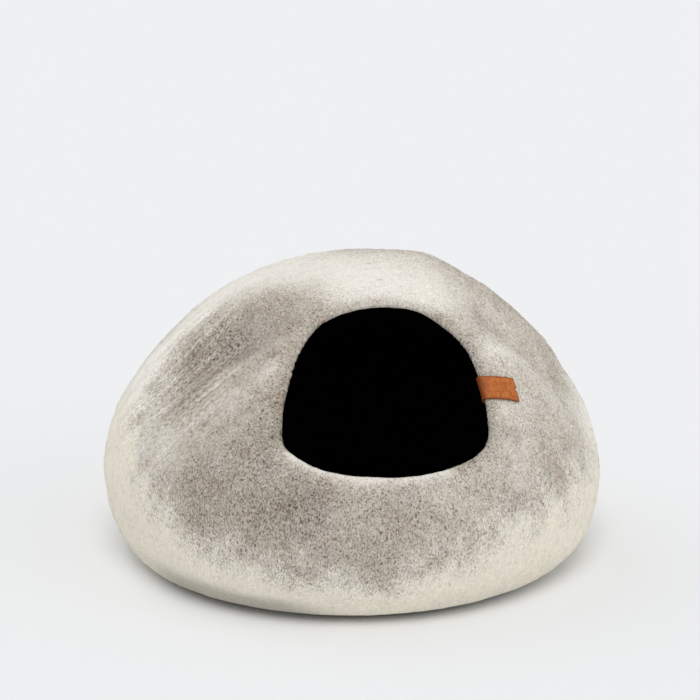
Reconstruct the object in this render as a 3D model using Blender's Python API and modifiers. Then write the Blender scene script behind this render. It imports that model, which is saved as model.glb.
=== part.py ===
"""Cat cave bed: one seamless shell of thick wool felt, with a leather tab folded over its rim.

Metres, +Z up. The origin is on the floor under the middle of the cave, and the mouth faces -Y,
a little towards +X. Azimuths are in degrees from -Y, growing towards +X.
"""

import math

import bmesh
import bpy
import numpy as np
from mathutils import Vector
from mathutils.bvhtree import BVHTree

# The felt shell: half of its section, from the crown to the middle of the underside. The underside
# hangs a little below the floor here, and the floor presses it flat.
OUTLINE_COLUMNS = ("place", "radius", "height")
OUTLINE = (
    ("crown", 0.0, 0.2975),
    ("crown edge", 0.0525, 0.2950),
    ("high shoulder", 0.1010, 0.2815),
    ("shoulder", 0.1440, 0.2550),
    ("low shoulder", 0.1807, 0.2220),
    ("high side", 0.2114, 0.1855),
    ("side", 0.2379, 0.1420),
    ("belly", 0.2500, 0.0915),
    ("low belly", 0.2435, 0.0440),
    ("foot", 0.2295, 0.0160),
    ("turn under", 0.2132, 0.0050),
    ("underside", 0.1780, -0.0046),
    ("underside, halfway", 0.0875, -0.0080),
    ("underside, middle", 0.0, -0.0090),
)
DEPTH_SHARE = 0.96
FELT = 0.008
RIM_ROUNDING = 0.42 * FELT
RIM_SEGMENTS = 2

# The rim of the mouth, seen from the front: how far across and how high each place lies
RIM_COLUMNS = ("place", "across", "height")
RIM = (
    ("lower lip", 0.040, 0.1495),
    ("lower lip, right", 0.090, 0.1525),
    ("lower right corner", 0.129, 0.1660),
    ("right side, low", 0.131, 0.1980),
    ("right side", 0.120, 0.2270),
    ("right shoulder", 0.100, 0.2540),
    ("crown, right", 0.069, 0.2745),
    ("crown", 0.030, 0.2815),
    ("crown, left", -0.010, 0.2770),
    ("left shoulder", -0.041, 0.2610),
    ("left side", -0.0570, 0.2300),
    ("left side, low", -0.0650, 0.1960),
    ("lower left corner", -0.060, 0.1715),
    ("lower lip, left", -0.019, 0.1550),
)

# The lip bends in towards the hollow over this reach
LIP_ROLL = 0.006
LIP_REACH = 0.014

# Broad folds: each runs over the dome through three places, given as azimuth and height
FOLD_COLUMNS = ("name", "start", "middle", "end", "width", "push")
FOLDS = (
    ("hood ridge", (-40, 0.291), (-69, 0.246), (-80, 0.150), 0.025, 0.0085),
    ("side valley", (-17, 0.277), (-51, 0.228), (-68, 0.118), 0.025, -0.0145),
    ("pleat ridge", (-18, 0.248), (-45, 0.196), (-60, 0.082), 0.022, 0.0065),
    ("right shoulder ridge", (38, 0.262), (56, 0.212), (64, 0.125), 0.027, 0.0045),
    ("right flank valley", (66, 0.276), (72, 0.231), (78, 0.155), 0.024, -0.0065),
    ("right flank swell", (100, 0.281), (94, 0.240), (92, 0.170), 0.030, 0.0040),
    ("under-lip swell", (-34, 0.105), (10, 0.098), (48, 0.108), 0.042, 0.004),
    ("back valley", (150, 0.284), (158, 0.225), (166, 0.140), 0.040, -0.006),
    ("back ridge", (205, 0.270), (212, 0.205), (222, 0.115), 0.045, 0.005),
)

# Broad lumps of the dome, each round a place given as azimuth and height
LUMP_COLUMNS = ("name", "place", "width", "push")
LUMPS = (
    ("crown, right", (114, 0.2895), 0.045, 0.0070),
    ("crown, left", (-100, 0.2900), 0.055, -0.0050),
    ("low left", (-62, 0.0300), 0.060, -0.0045),
    ("low right", (72, 0.0300), 0.060, 0.0035),
    ("back, high", (178, 0.2500), 0.070, 0.0040),
    ("back, low", (190, 0.0800), 0.080, 0.0030),
)
FOLD_STEPS = 40
FOLD_TAPER = 0.30

# No fold or lump reaches the floor: they die out between these heights
FLAT_HEIGHT = 0.004
UNEVEN_HEIGHT = 0.045

# The mesh of the shell: spokes round the mouth, rings from the rim down to the foot
SPOKES = 72
RINGS = 30
LAST_RING_RADIUS = 0.170
CENTRE_REACHED = 0.85

# The leather tab
TAB_WIDTH = 0.023
TAB_LEG = 0.032
TAB_SLANT = 0.0028
LEATHER = 0.0018
TAB_GAP = 0.0008
TAB_HEIGHT_ON_RIM = 0.2067
TAB_AIM = (54, 0.1935)
NICK_DEPTH = 0.0022
NICK_HALF_WIDTH = 0.0018
TAB_LEG_STEPS = 8
TAB_BEND_STEPS = 8

# How finely curves are stepped, how far a direction looks along them, and what counts as one corner
CURVE_STEPS = 120
TURN_STEP = math.radians(0.5)
SAME_CORNER = 1e-5

FELT_COLOUR = (0.50, 0.45, 0.39, 1.0)
LEATHER_COLOUR = (0.43, 0.13, 0.035, 1.0)


def smooth(share):
    """0 to 1 with a level start and end."""
    share = np.clip(share, 0.0, 1.0)
    return share * share * (3 - 2 * share)


def closed_curve(places, count):
    """Points on a smooth closed curve through the places, this many for each of them."""
    after = np.roll(places, -1, axis=0)
    slope = (after - np.roll(places, 1, axis=0)) / 2
    share = np.linspace(0, 1, count, endpoint=False)[:, None, None]
    curve = (
        (2 * share**3 - 3 * share**2 + 1) * places
        + (share**3 - 2 * share**2 + share) * slope
        + (3 * share**2 - 2 * share**3) * after
        + (share**3 - share**2) * np.roll(slope, -1, axis=0)
    )
    return curve.transpose(1, 0, 2).reshape(-1, places.shape[1])


def half_outline():
    """Half the cave's section, from the crown's middle to the foot's: run, radius and height."""
    half = np.array([row[1:] for row in OUTLINE])
    other_half = half[-2:0:-1] * (-1, 1)
    curve = closed_curve(np.concatenate([half, other_half]), CURVE_STEPS)
    curve = curve[: CURVE_STEPS * (len(half) - 1) + 1]
    radius, height = curve[:, 0], np.maximum(curve[:, 1], 0.0)
    steps = np.hypot(np.diff(radius), np.diff(height))
    return np.concatenate([[0.0], np.cumsum(steps)]), radius, height


RUN, RADIUS, OUTLINE_HEIGHT = half_outline()
FULL_RUN = RUN[-1]
TO_FLOOR = int(np.argmax(OUTLINE_HEIGHT <= 0)) + 1


def run_at_height(height):
    """How far down from the crown the dome is this high."""
    return np.interp(-np.asarray(height), -OUTLINE_HEIGHT[:TO_FLOOR], RUN[:TO_FLOOR])


def plain_dome(azimuth, run):
    """Points of the dome without its folds. The azimuth is in radians."""
    radius = np.interp(run, RUN, RADIUS)
    height = np.interp(run, RUN, OUTLINE_HEIGHT)
    across = radius * np.sin(azimuth)
    away = -DEPTH_SHARE * radius * np.cos(azimuth)
    return np.stack([across, away, height], axis=-1)


def outward(azimuth, run):
    """Unit directions straight out of the plain dome. The foot's point down."""
    step = FULL_RUN / CURVE_STEPS
    below = plain_dome(azimuth, np.minimum(run + step, FULL_RUN))
    down = below - plain_dome(azimuth, np.maximum(run - step, 0))
    around = plain_dome(azimuth + TURN_STEP, run) - plain_dome(azimuth - TURN_STEP, run)
    out = np.cross(down, around)
    return out / np.linalg.norm(out, axis=-1, keepdims=True)


def fold_line(start, middle, end):
    """Points along a fold, on the plain dome, through its three places."""
    share = np.linspace(0, 1, FOLD_STEPS)[:, None]
    bend = 2 * np.array(middle, float) - (np.array(start, float) + np.array(end, float)) / 2
    places = (1 - share) ** 2 * start + 2 * share * (1 - share) * bend + share**2 * np.array(end)
    return plain_dome(np.radians(places[:, 0]), run_at_height(places[:, 1]))


def uneven_push(points):
    """How far the broad folds and lumps move each point out of the plain dome."""
    push = np.zeros(len(points))
    for fold in (dict(zip(FOLD_COLUMNS, row)) for row in FOLDS):
        line = fold_line(fold["start"], fold["middle"], fold["end"])
        away = np.linalg.norm(points[:, None] - line[None], axis=2)
        along = away.argmin(axis=1) / (FOLD_STEPS - 1)
        taper = smooth(along / FOLD_TAPER) * smooth((1 - along) / FOLD_TAPER)
        push += fold["push"] * taper * np.exp(-((away.min(axis=1) / fold["width"]) ** 2))
    for lump in (dict(zip(LUMP_COLUMNS, row)) for row in LUMPS):
        azimuth, height = lump["place"]
        middle = plain_dome(math.radians(azimuth), run_at_height(height))
        away = np.linalg.norm(points - middle, axis=1)
        push += lump["push"] * np.exp(-((away / lump["width"]) ** 2))
    return push * smooth((points[:, 2] - FLAT_HEIGHT) / (UNEVEN_HEIGHT - FLAT_HEIGHT))


def to_plane(azimuth, run):
    """The dome flattened onto a plane with its crown at 0 and its foot far out, as complex numbers."""
    return np.tan(math.pi * run / FULL_RUN / 2) * np.exp(1j * azimuth)


def from_plane(place):
    """Azimuth and run of a place on that plane."""
    return np.angle(place), 2 * np.arctan(np.abs(place)) * FULL_RUN / math.pi


def even_steps(loop, count):
    """This many evenly spaced points along a closed loop of complex numbers."""
    loop = np.append(loop, loop[0])
    run = np.concatenate([[0.0], np.cumsum(np.abs(np.diff(loop)))])
    wanted = np.linspace(0, run[-1], count, endpoint=False)
    return np.interp(wanted, run, loop.real) + 1j * np.interp(wanted, run, loop.imag)


def rim_on_plane(count):
    """The rim of the mouth on the plane, at this many spokes."""
    across = np.array([row[RIM_COLUMNS.index("across")] for row in RIM])
    run = run_at_height([row[RIM_COLUMNS.index("height")] for row in RIM])
    azimuth = np.arcsin(across / np.interp(run, RUN, RADIUS))
    places = to_plane(azimuth, run)
    loop = closed_curve(np.stack([places.real, places.imag], axis=-1), CURVE_STEPS)
    return even_steps(loop[:, 0] + 1j * loop[:, 1], count)


def ring_places(spokes, rings):
    """Places of every ring on the plane. The first is the rim, the last a level circle in the foot."""
    rim = rim_on_plane(spokes)
    middle = rim.mean()
    reach, turn = np.abs(rim - middle), np.unwrap(np.angle(rim - middle))
    even = np.arange(spokes) * 2 * math.pi / spokes
    even += (turn - even).mean()
    last_run = FULL_RUN - LAST_RING_RADIUS
    last_reach = abs(to_plane(0.0, last_run))
    share = np.linspace(0, 1, rings + 1)[:, None]
    centre = middle * (1 - smooth(share / CENTRE_REACHED))
    angle = turn + (even - turn) * smooth(share)
    return centre + reach ** (1 - share) * last_reach**share * np.exp(1j * angle)


def shell_points(spokes, rings):
    """The outer surface of the felt, as an array of rings by spokes by 3."""
    azimuth, run = from_plane(ring_places(spokes, rings))
    points = plain_dome(azimuth, run)
    flat = points.reshape(-1, 3)
    steps = np.linalg.norm(np.diff(points, axis=0), axis=2)
    from_rim = np.concatenate([np.zeros((1, spokes)), np.cumsum(steps, axis=0)]).ravel()
    push = uneven_push(flat) - LIP_ROLL * np.exp(-((from_rim / LIP_REACH) ** 2))
    return points + outward(azimuth, run) * push.reshape(azimuth.shape)[:, :, None]


def new_object(name, mesh, collection, material):
    """A mesh as an object of the collection, with its material."""
    made = bpy.data.objects.new(name, mesh)
    made.data.materials.append(material)
    collection.objects.link(made)
    return made


def new_material(name, colour, roughness):
    material = bpy.data.materials.new(name)
    material.use_nodes = True
    shader = material.node_tree.nodes["Principled BSDF"]
    shader.inputs["Base Color"].default_value = colour
    shader.inputs["Roughness"].default_value = roughness
    shader.inputs["Metallic"].default_value = 0.0
    return material


def bent_grid(name, columns, rows, points, closed):
    """A grid primitive with each corner moved to points[row, column]. A closed one joins its sides."""
    shape = bmesh.new()
    bmesh.ops.create_grid(shape, x_segments=columns, y_segments=rows, size=1.0)
    for corner in shape.verts:
        column = round((corner.co.x + 1) / 2 * columns)
        row = round((corner.co.y + 1) / 2 * rows)
        corner.co = Vector(points[row, column % points.shape[1]])
    if closed:
        bmesh.ops.remove_doubles(shape, verts=shape.verts, dist=SAME_CORNER)
    mesh = bpy.data.meshes.new(name)
    shape.to_mesh(mesh)
    shape.free()
    return mesh


def close_foot(mesh):
    """Fills the level ring in the foot with one flat face, and turns every face outwards."""
    shape = bmesh.new()
    shape.from_mesh(mesh)
    on_floor = FELT / 2
    edges = [e for e in shape.edges if e.is_boundary and e.verts[0].co.z < on_floor]
    bmesh.ops.contextual_create(shape, geom=edges)
    bmesh.ops.recalc_face_normals(shape, faces=shape.faces)
    foot = min(shape.faces, key=lambda face: face.calc_center_median().z)
    if foot.normal.z > 0:
        bmesh.ops.reverse_faces(shape, faces=shape.faces)
    shape.to_mesh(mesh)
    shape.free()


def make_felt_shell(collection, material):
    """The seamless shell: an open skin thickened inwards, with its rim rounded."""
    points = shell_points(SPOKES, RINGS)
    mesh = bent_grid("felt_shell", SPOKES, RINGS, points, closed=True)
    close_foot(mesh)
    mesh.shade_smooth()
    shell = new_object("felt_shell", mesh, collection, material)
    wall = shell.modifiers.new("Wall", "SOLIDIFY")
    wall.thickness = FELT
    wall.offset = -1.0
    wall.use_even_offset = True
    rim = shell.modifiers.new("Rim", "BEVEL")
    rim.limit_method = "ANGLE"
    rim.angle_limit = math.radians(60)
    rim.width = RIM_ROUNDING
    rim.segments = RIM_SEGMENTS
    return shell


def tab_frame(rim):
    """Where the tab sits on the rim, and its directions: along the rim, over the felt and off it."""
    side = rim[rim[:, 0] > RIM[0][RIM_COLUMNS.index("across")]]
    side = side[np.argsort(side[:, 2])]

    def on_rim(height):
        return Vector([np.interp(height, side[:, 2], places) for places in side.T])

    place = on_rim(TAB_HEIGHT_ON_RIM)
    above = on_rim(TAB_HEIGHT_ON_RIM + TAB_WIDTH / 2)
    along = above - on_rim(TAB_HEIGHT_ON_RIM - TAB_WIDTH / 2)
    aim = Vector(plain_dome(math.radians(TAB_AIM[0]), run_at_height(TAB_AIM[1])))
    over = (aim - place).normalized()
    off = along.cross(over).normalized()
    if off.x < 0:
        off = -off
    return place, over.cross(off), over, off


def tab_section():
    """The tab's path round the rim, inner end first: how far over the felt and off its middle."""
    stand = FELT / 2 + TAB_GAP + LEATHER / 2
    legs = np.linspace(TAB_LEG, 0, TAB_LEG_STEPS, endpoint=False)
    bend = np.linspace(-math.pi / 2, math.pi / 2, TAB_BEND_STEPS + 1)
    over = np.concatenate([legs, -stand * np.cos(bend), legs[::-1]])
    straight = np.full(len(legs), stand)
    off = np.concatenate([-straight, stand * np.sin(bend), straight])
    return over, off


def on_felt(felt, wanted, off, side):
    """The place on the felt under a wanted point, and the direction off the felt there.

    The side is 1 outside the cave, -1 in its hollow and 0 round the rim.
    """
    if side == 0:
        nearest = felt.find_nearest(wanted)[0]
        return nearest, (wanted - nearest).normalized()
    start = wanted + off * (side * TAB_LEG)
    hit, normal = felt.ray_cast(start, off * -side)[:2]
    return hit, normal


def make_tab(collection, material, shell, points):
    """The strap of leather folded over the rim, laid a little off the felt all the way round."""
    bpy.context.view_layer.update()
    felt = BVHTree.FromObject(shell, bpy.context.evaluated_depsgraph_get())
    place, along, over, off = tab_frame(points[0])
    middle = place - off * (FELT / 2)
    section_over, section_off = tab_section()
    half = TAB_WIDTH / 2
    columns = np.array([-half, -half / 2, -NICK_HALF_WIDTH, 0, NICK_HALF_WIDTH, half / 2, half])
    rows = np.zeros((len(section_over), len(columns), 3))
    for row, (reach, height) in enumerate(zip(section_over, section_off)):
        side = np.sign(height) if reach > 0 else 0
        at_end = row == len(section_over) - 1
        out_along_leg = max(0.0, reach) / TAB_LEG if height > 0 else 0.0
        for column, aside in enumerate(columns):
            nick = NICK_DEPTH if at_end and aside == 0 else 0.0
            slant = TAB_SLANT * out_along_leg * aside / half
            wanted = middle + along * aside + over * (reach - nick + slant) + off * height
            hit, normal = on_felt(felt, wanted, off, side)
            rows[row, column] = hit + normal * (TAB_GAP + LEATHER / 2)
    mesh = bent_grid("leather_tab", len(columns) - 1, len(section_over) - 1, rows, closed=False)
    mesh.shade_smooth()
    tab = new_object("leather_tab", mesh, collection, material)
    thickness = tab.modifiers.new("Leather", "SOLIDIFY")
    thickness.thickness = LEATHER
    thickness.offset = 0.0
    thickness.use_even_offset = True
    return tab


def main():
    for old in list(bpy.data.objects):
        bpy.data.objects.remove(old)
    collection = bpy.data.collections.new("cat_cave")
    bpy.context.scene.collection.children.link(collection)
    felt = new_material("felt", FELT_COLOUR, 0.95)
    leather = new_material("leather", LEATHER_COLOUR, 0.5)
    shell = make_felt_shell(collection, felt)
    make_tab(collection, leather, shell, shell_points(SPOKES, RINGS))


main()
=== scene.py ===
import math

import bmesh
import bpy
import numpy as np
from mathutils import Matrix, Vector, noise
from mathutils.bvhtree import BVHTree


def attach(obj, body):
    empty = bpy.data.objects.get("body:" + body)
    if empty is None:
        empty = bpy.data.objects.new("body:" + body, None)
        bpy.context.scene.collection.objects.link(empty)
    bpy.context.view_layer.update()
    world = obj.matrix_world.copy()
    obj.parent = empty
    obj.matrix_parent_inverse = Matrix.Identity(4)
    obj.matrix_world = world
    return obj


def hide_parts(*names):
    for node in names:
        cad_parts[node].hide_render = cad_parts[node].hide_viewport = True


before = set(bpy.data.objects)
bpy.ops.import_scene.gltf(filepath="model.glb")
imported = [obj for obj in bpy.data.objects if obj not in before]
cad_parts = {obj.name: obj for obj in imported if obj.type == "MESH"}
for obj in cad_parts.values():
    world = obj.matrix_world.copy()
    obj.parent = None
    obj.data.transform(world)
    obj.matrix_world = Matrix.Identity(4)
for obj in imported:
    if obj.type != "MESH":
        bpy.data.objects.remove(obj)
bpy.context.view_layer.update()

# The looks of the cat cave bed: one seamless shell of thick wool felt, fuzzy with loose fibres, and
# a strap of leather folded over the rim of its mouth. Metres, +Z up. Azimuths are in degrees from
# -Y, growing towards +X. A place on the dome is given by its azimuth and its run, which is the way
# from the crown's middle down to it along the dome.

# The felt shell: half of its section, from the crown to the middle of the underside, as the radius
# and height of each place. The underside hangs a little below the floor here, and the floor presses
# it flat.
OUTLINE = (
    ("crown", 0.0, 0.2975),
    ("crown edge", 0.0525, 0.295),
    ("high shoulder", 0.101, 0.2815),
    ("shoulder", 0.144, 0.255),
    ("low shoulder", 0.1807, 0.222),
    ("high side", 0.2114, 0.1855),
    ("side", 0.2379, 0.142),
    ("belly", 0.25, 0.0915),
    ("low belly", 0.2435, 0.044),
    ("foot", 0.2295, 0.016),
    ("turn under", 0.2132, 0.005),
    ("underside", 0.178, -0.0046),
    ("underside, halfway", 0.0875, -0.008),
    ("underside, middle", 0.0, -0.009),
)
DEPTH_SHARE = 0.96
FELT = 0.008

# The rim of the mouth, seen from the front: how far across and how high each place lies
RIM = (
    ("lower lip", 0.04, 0.1495),
    ("lower lip, right", 0.09, 0.1525),
    ("lower right corner", 0.129, 0.166),
    ("right side, low", 0.131, 0.198),
    ("right side", 0.12, 0.227),
    ("right shoulder", 0.1, 0.254),
    ("crown, right", 0.069, 0.2745),
    ("crown", 0.03, 0.2815),
    ("crown, left", -0.01, 0.277),
    ("left shoulder", -0.041, 0.261),
    ("left side", -0.057, 0.23),
    ("left side, low", -0.065, 0.196),
    ("lower left corner", -0.06, 0.1715),
    ("lower lip, left", -0.019, 0.155),
)

# The lip bends in towards the hollow over this reach
LIP_ROLL = 0.006
LIP_REACH = 0.014

# Broad folds: each runs over the dome through three places, given as azimuth and height, and has a
# width and a push, which is how far it stands out
FOLDS = (
    ("hood ridge", (-40, 0.291), (-69, 0.246), (-80, 0.15), 0.025, 0.0085),
    ("side valley", (-17, 0.277), (-51, 0.228), (-68, 0.118), 0.025, -0.0145),
    ("pleat ridge", (-18, 0.248), (-45, 0.196), (-60, 0.082), 0.022, 0.0065),
    ("right shoulder ridge", (38, 0.262), (56, 0.212), (64, 0.125), 0.027, 0.0045),
    ("right flank valley", (66, 0.276), (72, 0.231), (78, 0.155), 0.024, -0.0065),
    ("right flank swell", (100, 0.281), (94, 0.24), (92, 0.17), 0.03, 0.004),
    ("under-lip swell", (-34, 0.105), (10, 0.098), (48, 0.108), 0.042, 0.004),
    ("back valley", (150, 0.284), (158, 0.225), (166, 0.14), 0.04, -0.006),
    ("back ridge", (205, 0.27), (212, 0.205), (222, 0.115), 0.045, 0.005),
)

# Creases and ridges too fine for the solids, in the same terms
CREASES = (
    ("hood crest", (-44, 0.29), (-68, 0.238), (-68, 0.13), 0.0085, 0.0022),
    ("valley floor", (-20, 0.285), (-46, 0.235), (-57, 0.15), 0.01, -0.0028),
    ("pleat, first", (-28, 0.28), (-48, 0.238), (-57, 0.17), 0.0032, -0.0026),
    ("pleat, second", (-14, 0.285), (-40, 0.231), (-57, 0.155), 0.0032, -0.003),
    ("pleat, third", (-10, 0.276), (-35, 0.22), (-58, 0.135), 0.0036, -0.004),
    ("pleat ridge", (-8, 0.268), (-31, 0.212), (-54, 0.13), 0.0045, 0.0022),
    ("pleat, fourth", (-10, 0.252), (-27, 0.2), (-47, 0.138), 0.0032, -0.0014),
    ("hood crease, left", (-74, 0.236), (-78, 0.202), (-80, 0.169), 0.0034, -0.0012),
    ("hood crease, right", (-72, 0.214), (-75, 0.19), (-76, 0.16), 0.0034, -0.001),
    ("low crease, left", (-39, 0.135), (-42, 0.119), (-45, 0.108), 0.003, -0.0014),
    ("low crease, right", (-36, 0.126), (-37, 0.12), (-38, 0.114), 0.003, -0.0012),
    ("bib crease, left", (-1, 0.14), (-1, 0.091), (0, 0.022), 0.0036, -0.0013),
    ("bib crease, right", (2, 0.142), (3, 0.101), (2, 0.04), 0.0036, -0.0012),
    ("bib crease, far left", (-7, 0.14), (-6, 0.1), (-5, 0.045), 0.004, -0.001),
    ("bib crease, far right", (7, 0.14), (8, 0.095), (9, 0.035), 0.004, -0.0011),
    ("tuck, low left", (-80, 0.024), (-38, 0.02), (5, 0.016), 0.012, -0.0035),
    ("right flank crease", (65, 0.24), (70, 0.195), (68, 0.144), 0.004, -0.0012),
)

# Painted shade in a crease and painted light on a ridge: the share of dark wool for a metre of depth
CREASE_PAINTED_SHADE = 55.0
CREASES_FROM_RIM = 0.018

# Broad lumps of the dome: the crown's right and left, low on the left and right, and two at the back.
# Each has a place, a width and a push.
LUMPS = (
    ((114, 0.2895), 0.045, 0.007), ((-100, 0.29), 0.055, -0.005), ((-62, 0.03), 0.06, -0.0045),
    ((72, 0.03), 0.06, 0.0035), ((178, 0.25), 0.07, 0.004), ((190, 0.08), 0.08, 0.003),
)
FOLD_STEPS = 40
FOLD_TAPER = 0.3

# No fold or lump reaches the floor: they die out between these heights
FLAT_HEIGHT = 0.004
UNEVEN_HEIGHT = 0.045

# The felt's own unevenness, from hand felting: the size of the lumps and how far they stand out
GRAINS = (
    ("soft lumps", 0.03, 0.0007),
    ("pebbling", 0.012, 0.0007),
    ("matted tufts", 0.005, 0.0004),
)
GRAIN_FLAT_HEIGHT = 0.001
GRAIN_FULL_HEIGHT = 0.014

# Fibres lie along the runs, so grain and colour are drawn out that way by leaving less of the run
LAY_SHARE = 0.8

# On the left flank fibres lie along its folds, beside this line through three places. Grain there
# is measured across the line and along it, and is drawn out by leaving these shares of the length.
COMB_LINE = ((-8, 0.29), (-38, 0.226), (-66, 0.08))
COMB_SMOOTHING = 0.06
FINE_COMB_SHARE = 0.28
STREAK_COMB_SHARE = 0.09
PLEAT_COMB_SHARE = 0.04
FLANK = ((-62, 0.208), 0.11)

# The mesh of the shell: spokes from the mouth, rings outside and in the hollow, steps round the lip
SPOKES = 480
OUTER_RINGS = 126
INNER_RING_STEP = 3
LIP_STEPS = 8
DARK_LIP_STEPS = 3
LAST_RING_RADIUS = 0.17
CENTRE_REACHED = 0.85

# The top of the cream foot, as azimuth and height, all the way round
CREAM_EDGE = (
    (-180, 0.09), (-150, 0.105), (-120, 0.12), (-90, 0.15), (-70, 0.15),
    (-60, 0.138), (-50, 0.104), (-40, 0.082), (-30, 0.065), (-20, 0.058),
    (-10, 0.046), (0, 0.034), (10, 0.043), (20, 0.061), (30, 0.08),
    (40, 0.086), (50, 0.093), (60, 0.106), (75, 0.112), (90, 0.1),
    (120, 0.08), (150, 0.095), (180, 0.09),
)
CREAM_FADE = 0.045

# Painted shade: the wool is darker low down, and dark where the foot turns under, below these heights
LOW_SHADE_HEIGHT = 0.055
LOW_PAINTED_SHADE_SHARE = 0.3
UNDER_HEIGHT = 0.006
UNDER_FADE = 0.004
UNDER_PAINTED_SHADE = 0.6

# A band of painted shade low on the foot's left, in the terms of the folds, with a share for the push
FOOT_PAINTED_SHADE_BANDS = (
    ("low left", (-66, 0.013), (-30, 0.011), (6, 0.011), 0.026, 0.38),
)

# How much dark wool lies in the grey, and the patches that have more or less of it, each a place, a
# width and a share. The patches are partly the wool's own tone, partly painted light and shade on
# the folds, the flanks and below the mouth
GREY_SHARE = 0.5
PATCHES = (
    # The crown, the far left side and what lies behind them
    ((10, 0.295), 0.09, -0.42), ((-90, 0.29), 0.06, -0.2), ((-100, 0.19), 0.075, -0.3),
    ((-114, 0.255), 0.055, -0.44), ((-146, 0.278), 0.055, -0.4),
    # The left flank and its folds
    ((-82, 0.14), 0.05, -0.4), ((-62, 0.15), 0.035, -0.2), ((-68, 0.25), 0.022, -0.2),
    ((-43, 0.252), 0.024, 0.26), ((-61, 0.228), 0.016, 0.12), ((-50, 0.238), 0.014, 0.16),
    ((-64, 0.19), 0.024, -0.2), ((-59, 0.172), 0.02, -0.2), ((-70, 0.188), 0.014, 0.2),
    ((-71, 0.145), 0.022, 0.24), ((-50, 0.155), 0.028, -0.18),
    # Left of the mouth and below it
    ((-20, 0.202), 0.016, 0.22), ((-21, 0.175), 0.024, 0.24), ((-30, 0.128), 0.045, 0.22),
    ((-14, 0.122), 0.035, 0.26), ((-8, 0.13), 0.024, 0.22), ((8, 0.112), 0.035, 0.12),
    ((26, 0.11), 0.032, -0.06), ((40, 0.137), 0.016, -0.14), ((42, 0.158), 0.03, 0.02),
    # Right of the mouth, and the right flank
    ((48, 0.185), 0.05, -0.12), ((52, 0.232), 0.018, -0.26), ((80, 0.185), 0.02, 0.22),
    ((76, 0.25), 0.024, -0.14), ((62, 0.252), 0.035, 0.18), ((66, 0.22), 0.04, -0.08),
    ((86, 0.14), 0.06, -0.46), ((55, 0.278), 0.045, -0.16),
    # The back
    ((215, 0.19), 0.08, 0.12), ((150, 0.22), 0.07, 0.1),
)

# Bands of paler or darker wool along the folds, partly the wool's own tone and partly painted light
# on the hood and painted shade in the side valley, in the terms of the folds, with a share for the push
BANDS = (
    ("hood", (-95, 0.296), (-80, 0.235), (-82, 0.11), 0.022, -0.5),
    ("hood, edge", (-58, 0.294), (-71, 0.24), (-72, 0.15), 0.012, -0.22),
    ("side valley", (-10, 0.297), (-51, 0.244), (-57, 0.11), 0.021, 0.24),
    ("side valley, right", (5, 0.292), (-42, 0.24), (-56, 0.15), 0.014, 0.22),
    ("pleats", (-10, 0.262), (-33, 0.206), (-50, 0.12), 0.014, -0.05),
    ("right flank band", (50, 0.276), (62, 0.212), (64, 0.13), 0.018, -0.1),
)

# At the lip the wool is pale low down, a painted highlight where the lip rolls over, and dark above
# and on the right, a painted shade along the mouth's edge
PALE_LIP = 0.009
LOW_LIP_PAINTED_LIGHT = 0.7
PALE_LIP_TOP = 0.18
PALE_LIP_RIGHT = 0.106
LIP_EDGE_PAINTED_SHADE = 0.26
PALE_LIP_FADE = 0.02

# The leather tab
TAB_WIDTH = 0.023
TAB_LEG = 0.032
TAB_SLANT = 0.0028
LEATHER = 0.0018
TAB_GAP = 0.0008
TAB_STAND = TAB_GAP + LEATHER / 2
TAB_HEIGHT_ON_RIM = 0.2067
TAB_AIM = (54, 0.1935)
NICK_DEPTH = 0.0022
NICK_HALF_WIDTH = 0.0018
NICK_FADE = 6
TAB_TURN_START = 0.002
TAB_TURN_REACH = 0.018
TAB_STIFFNESS = 12
TAB_COLUMNS = 24
TAB_LEG_STEPS = 34
TAB_BEND_STEPS = 18
TAB_CLEAR = 0.03
TAB_EDGE_ROUNDING = 0.00055
TAB_EDGE_STEPS = 3
SHARP_EDGE = math.radians(50)
# The dark bands at the tab's edges and round its fold are partly burnished leather, partly painted shade
BURNISHED_AND_SHADED_EDGE = 0.0014
BURNISHED_AND_SHADED_FOLD = 0.01
LEATHER_GRAIN = 0.0011

# Loose fibres. Each kind: how many, shortest and longest, thickest radius, how far the middle and
# the end stand off the felt, and how far it strays from the lay, in radians.
FIBRE_COLUMNS = ("name", "count", "shortest", "longest", "radius", "middle", "end", "stray")
FIBRES = (
    ("grey_fibres", 12500, 0.003, 0.008, 0.00009, 0.00004, 0.0, 1.2),
    ("cream_fibres", 14500, 0.003, 0.009, 0.00008, 0.0004, 0.0003, 1.3),
    ("fuzz", 16000, 0.0016, 0.004, 0.00005, 0.0006, 0.0018, 3.1),
)
FIBRE_SEED = 8
FIBRE_CURL = 0.12
FIBRE_ROOT = 0.0001
FIBRE_SIDES = 3
FIBRE_RING = 0.2
FIBRE_LIFT = (0.4, 1.0)

# How finely curves are stepped, how far a direction looks along them, and what counts as one corner
CURVE_STEPS = 120
TURN_STEP = math.radians(0.5)
RUN_STEP = 0.0005
SOLID_SPOKES = 72
SAME_CORNER = 1e-6

# The camera, the floor, and the lights: where each comes from, how strong and how soft it is
CAMERA_PLACE = (0.0, -2.0923, 0.8098)
CAMERA_AIM = (-0.0012, 0.0223, 0.1985)
FOCAL_PIXELS = 2172.4
IMAGE_SIDE = 700
SENSOR = 36.0
CAMERA_REACH = 56.0
FLOOR_RADIUS = 14.0
FLOOR_SIDES = 64
FLOOR_SINK = 0.0004
SKY_STRENGTH = 0.48
LIGHTS = (
    ("light_above", (0.0, -0.6, 1.1), 0.92, 30),
    ("light_left", (-0.9, 0.35, 0.9), 0.5, 60),
    ("light_right", (1.1, 0.1, 0.8), 0.28, 60),
    ("light_low_right", (1.1, -0.8, 0.3), 0.42, 60),
)

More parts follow.
